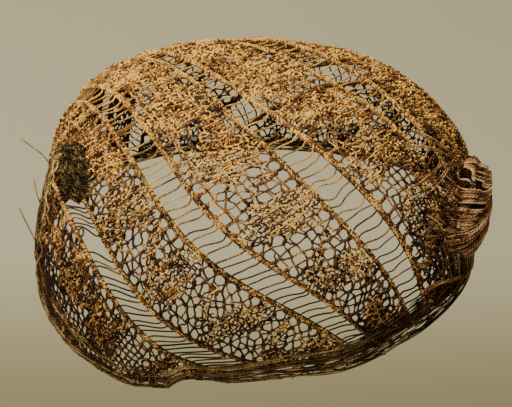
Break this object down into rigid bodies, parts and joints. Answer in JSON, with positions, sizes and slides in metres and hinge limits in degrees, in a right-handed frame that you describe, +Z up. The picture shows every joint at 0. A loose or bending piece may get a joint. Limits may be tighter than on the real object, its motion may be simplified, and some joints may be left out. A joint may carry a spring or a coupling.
{
  "type": "open-weave cap",
  "caption": "Net cap of fine twisted thread with slanting ladder bands, a rolled edge and both ends drawn up into gathers; domed and open below.",
  "frame": {"origin": "where the top of a head meets the inside of the crown, below the middle of the dome", "axes": "+X to the drawn right end along the cap's length, -Y to the front, +Z up"},
  "size_m": [0.2172, 0.1904, 0.1041],
  "materials": {
    "net_thread": "matte two-ply vegetable thread, golden to reddish brown",
    "edge_thread": "matte, dark brown rolled edge",
    "dark_thread": "matte, close-packed olive brown",
    "sheaf_thread": "matte, drawn reddish brown thread"
  },
  "bodies": {
    "root": {"crown_net": "net_thread", "rim_roll": "edge_thread", "left_gather": "dark_thread", "left_edge_strands": "edge_thread", "right_gather": "sheaf_thread", "gather_fan": "dark_thread", "gather_tie": "sheaf_thread"}
  },
  "joints": []
}
